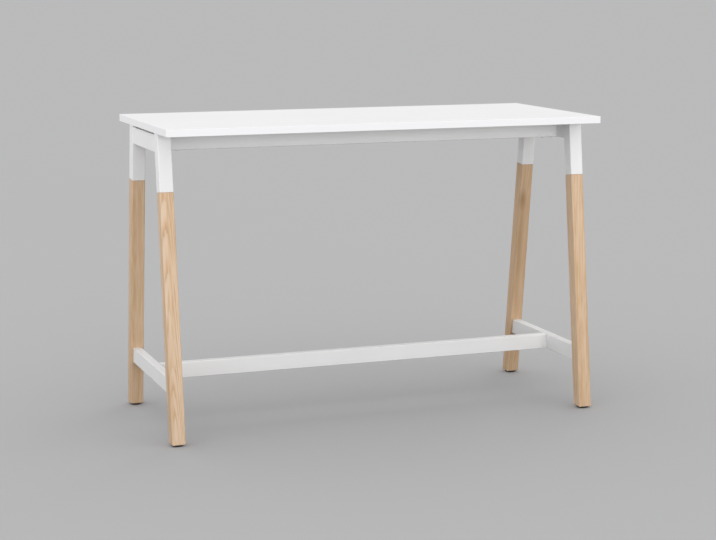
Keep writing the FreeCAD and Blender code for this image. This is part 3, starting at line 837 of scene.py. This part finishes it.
class HIGHTABLE_OT_finish_legs(bpy.types.Operator):
    """Gives each leg its own piece of ash, with the grain along the splayed leg"""

    bl_idname = "high_table.finish_legs"
    bl_label = "Finish Legs"

    def execute(self, context):
        finish = settings().timber
        splay = math.atan2(foot_y - socket_y, socket_z)
        for corner, x_sign, y_sign in CORNERS:
            foot = (x_sign * leg_x, y_sign * foot_y, 0.0)
            name = "Ash " + corner.replace("_", " ")
            has_knot = corner == KNOT_LEG
            timber = ash_timber(name, finish, foot, y_sign * splay, LEG_GRAIN[corner], has_knot)
            wear(corner + "_leg", timber)
        return {"FINISHED"}


class HIGHTABLE_OT_add_bolts(bpy.types.Operator):
    """Adds the button-headed bolts under the rails, under the crossbars and behind the stretcher"""

    bl_idname = "high_table.add_bolts"
    bl_label = "Add Bolts"

    def execute(self, context):
        hardware = settings().hardware
        zinc = bpy.data.materials["Zinc plate"]
        for node, up in (("rail_bolts", True), ("lock_screws", True), ("stretcher_bolts", False)):
            boxes = solid_boxes(node)
            low, high = boxes[0]
            axis = 2 if up else 1
            bolt = button_bolt(hardware, high[0] - low[0], high[axis] - low[axis] - BOLT_HEAD)
            if up:
                places = [((a[0] + b[0]) / 2, (a[1] + b[1]) / 2, a[2] + BOLT_HEAD) for a, b in boxes]
            else:
                places = [((a[0] + b[0]) / 2, b[1] - BOLT_HEAD, (a[2] + b[2]) / 2) for a, b in boxes]
            points, faces = repeated(*bolt, POINT_UP if up else POINT_FORWARD, places)
            add_piece("threaded_" + node, points, faces, zinc, "zinc_steel", ROOT_BODY, [node])
        return {"FINISHED"}


class HIGHTABLE_OT_add_screws(bpy.types.Operator):
    """Adds the pan-headed screws that hold the board to its brackets"""

    bl_idname = "high_table.add_screws"
    bl_label = "Add Screws"

    def execute(self, context):
        boxes = solid_boxes("top_screws")
        low, high = boxes[0]
        screw = pan_screw(settings().hardware, high[0] - low[0], high[2] - low[2] - SCREW_HEAD)
        places = [((a[0] + b[0]) / 2, (a[1] + b[1]) / 2, a[2] + SCREW_HEAD) for a, b in boxes]
        points, faces = repeated(*screw, POINT_UP, places)
        zinc = bpy.data.materials["Zinc plate"]
        add_piece("threaded_top_screws", points, faces, zinc, "zinc_steel", ROOT_BODY, ["top_screws"])
        return {"FINISHED"}


class HIGHTABLE_OT_finish_fixings(bpy.types.Operator):
    """Plates the fixings that sit inside the legs and tubes"""

    bl_idname = "high_table.finish_fixings"
    bl_label = "Finish Fixings"

    def execute(self, context):
        tint = tuple(settings().hardware.zinc)
        zinc = plated_metal("Zinc plate", tint, smoothest=0.26, roughest=0.42, marks_along=MARKS_ALL_WAYS)
        for node in ("leg_bolts", "leg_inserts", "spigot_screws", "stretcher_nuts", "foot_inserts"):
            wear(node, zinc)
        return {"FINISHED"}


class HIGHTABLE_OT_add_feet(bpy.types.Operator):
    """Adds the four levelling feet, each a ribbed pad and a threaded stem"""

    bl_idname = "high_table.add_feet"
    bl_label = "Add Feet"

    def execute(self, context):
        hardware = settings().hardware
        plastic = moulded_plastic("Black plastic", tuple(hardware.plastic))
        zinc = bpy.data.materials["Zinc plate"]
        upright = np.eye(3)
        for corner, _, _ in CORNERS:
            body = corner + "_foot"
            pad_low, pad_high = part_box(corner + "_foot_pad")
            stem_low, stem_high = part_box(corner + "_foot_stem")
            place = [((pad_low.x + pad_high.x) / 2, (pad_low.y + pad_high.y) / 2, 0.0)]
            flange = (stem_high.x - stem_low.x) / 2
            pad = ribbed_pad(hardware, pad_low, pad_high, flange + STEM_FIT)
            stem = threaded_stem(hardware, flange, stem_low.z, pad_high.z, stem_high.z)
            add_piece(
                corner + "_ribbed_pad", *repeated(*pad, upright, place), plastic, "black_plastic", body,
                [corner + "_foot_pad"])
            add_piece(
                corner + "_threaded_stem", *repeated(*stem, upright, place), zinc, "zinc_steel", body,
                [corner + "_foot_stem"])
        return {"FINISHED"}


class HIGHTABLE_OT_set_stage(bpy.types.Operator):
    """Builds the studio: a wide floor, soft lamps, an even sky and the camera"""

    bl_idname = "high_table.set_stage"
    bl_label = "Set Stage"

    def execute(self, context):
        stage = settings().stage
        scene = context.scene
        add_floor(stage)
        add_lamp("Key lamp", stage.key_strength, turn_degrees=-2.0, height_degrees=4.0)
        add_lamp("Side lamp", stage.side_strength, turn_degrees=-72.0, height_degrees=3.0)
        add_lamp("Back lamp", stage.back_strength, turn_degrees=135.0, height_degrees=4.0)
        scene.world = studio_sky(stage)
        camera_data = bpy.data.cameras.new("Camera")
        camera_data.sensor_fit = "HORIZONTAL"
        camera_data.sensor_width = SENSOR_WIDTH
        camera_data.lens = stage.lens
        camera = bpy.data.objects.new("Camera", camera_data)
        camera.location = stage.camera_place
        camera.rotation_euler = stage.camera_turn
        scene.collection.objects.link(camera)
        scene.camera = camera
        scene.view_settings.view_transform = "Standard"
        return {"FINISHED"}


def seen_directly(tree):
    """One for rays that show the studio to the camera, straight or by reflection, and nought for others."""
    ray = tree.nodes.new("ShaderNodeLightPath").outputs
    seen = math_of(tree, "MAXIMUM", ray["Is Camera Ray"], ray["Is Glossy Ray"])
    return math_of(tree, "MAXIMUM", seen, ray["Is Transmission Ray"])


def add_floor(stage):
    """Round floor that reaches the horizon, and that lets a camera look up through it from below.

    The camera sees it plain. The table's surfaces see it dark nearby and pale further off, so it throws more
    light on the table's upper parts than on its lower ones.
    """
    angle = 2 * math.pi * np.arange(FLOOR_POINTS) / FLOOR_POINTS
    points = np.stack([FLOOR_REACH * np.cos(angle), FLOOR_REACH * np.sin(angle), 0.0 * angle], axis=-1)
    mesh = bpy.data.meshes.new("Floor")
    mesh.from_pydata(points.tolist(), [], [list(range(len(points)))])
    material, tree, shader = new_material("Studio floor")
    middle = soft_ball(tree, object_place(tree), (0.0, 0.0, 0.0), (PALE_FLOOR, PALE_FLOOR, PALE_FLOOR))
    dark = 1.0 - DARK_FLOOR / PALE_FLOOR
    near = add(tree, "MapRange", {"Value": middle, "From Max": dark}, interpolation_type="SMOOTHSTEP")
    bounce = mix_colours(tree, near, tuple(stage.far_bounce), tuple(stage.near_bounce))
    tint = mix_colours(tree, seen_directly(tree), bounce, tuple(stage.floor))
    tree.links.new(tint, shader.inputs["Base Color"])
    shader.inputs["Roughness"].default_value = 0.9
    shader.inputs["Specular IOR Level"].default_value = 0.0
    from_below = tree.nodes.new("ShaderNodeNewGeometry").outputs["Backfacing"]
    tree.links.new(math_of(tree, "SUBTRACT", 1.0, from_below), shader.inputs["Alpha"])
    mesh.materials.append(material)
    floor = bpy.data.objects.new("Floor", mesh)
    bpy.context.scene.collection.objects.link(floor)


def studio_sky(stage):
    """World that lights evenly, and that shows the camera a plain backdrop."""
    world = bpy.data.worlds.new("Studio sky")
    world.use_nodes = True
    tree = world.node_tree
    background = tree.nodes["Background"]
    seen = seen_directly(tree)
    white = (1.0, 1.0, 1.0, 1.0)
    tree.links.new(mix_colours(tree, seen, white, tuple(stage.backdrop)), background.inputs["Color"])
    lit = math_of(tree, "MULTIPLY", math_of(tree, "SUBTRACT", 1.0, seen), stage.sky)
    tree.links.new(math_of(tree, "ADD", lit, seen), background.inputs["Strength"])
    return world


def add_lamp(name, strength, turn_degrees, height_degrees):
    """Wide, far lamp that shines at the table from a turn about Z, where 0 is the front, and a height."""
    lamp = bpy.data.lights.new(name, "SUN")
    lamp.energy = strength
    lamp.angle = math.radians(LAMP_SPREAD_DEGREES)
    holder = bpy.data.objects.new(name, lamp)
    holder.rotation_euler = (math.radians(90.0 - height_degrees), 0.0, math.radians(turn_degrees))
    holder.visible_glossy = False
    bpy.context.scene.collection.objects.link(holder)


STEPS = (
    HIGHTABLE_OT_finish_board, HIGHTABLE_OT_finish_frame, HIGHTABLE_OT_add_welds, HIGHTABLE_OT_finish_legs,
    HIGHTABLE_OT_finish_fixings, HIGHTABLE_OT_add_bolts, HIGHTABLE_OT_add_screws, HIGHTABLE_OT_add_feet,
    HIGHTABLE_OT_set_stage,
)


class HIGHTABLE_PT_panel(bpy.types.Panel):
    """Lists the settings and the steps that dress the table"""

    bl_idname = "HIGHTABLE_PT_panel"
    bl_label = "High Table"
    bl_space_type = "VIEW_3D"
    bl_region_type = "UI"
    bl_category = "High Table"

    def draw(self, context):
        groups = context.scene.high_table
        for group in (groups.board, groups.steel, groups.timber, groups.hardware, groups.stage):
            box = self.layout.box()
            for name in group.__annotations__:
                box.prop(group, name)
        for step in STEPS:
            self.layout.operator(step.bl_idname)


CLASSES = (
    HighTableBoardFinish, HighTableSteelFinish, HighTableTimberFinish, HighTableHardware, HighTableStage,
    HighTableSettings, *STEPS, HIGHTABLE_PT_panel,
)


def register():
    for cls in CLASSES:
        bpy.utils.register_class(cls)
    bpy.types.Scene.high_table = bpy.props.PointerProperty(
        name="High table", description="Settings of the high table", type=HighTableSettings)


def unregister():
    del bpy.types.Scene.high_table
    for cls in reversed(CLASSES):
        bpy.utils.unregister_class(cls)


def main():
    register()
    for step in STEPS:
        group, name = step.bl_idname.split(".")
        getattr(getattr(bpy.ops, group), name)()


if __name__ == "__main__":
    main()
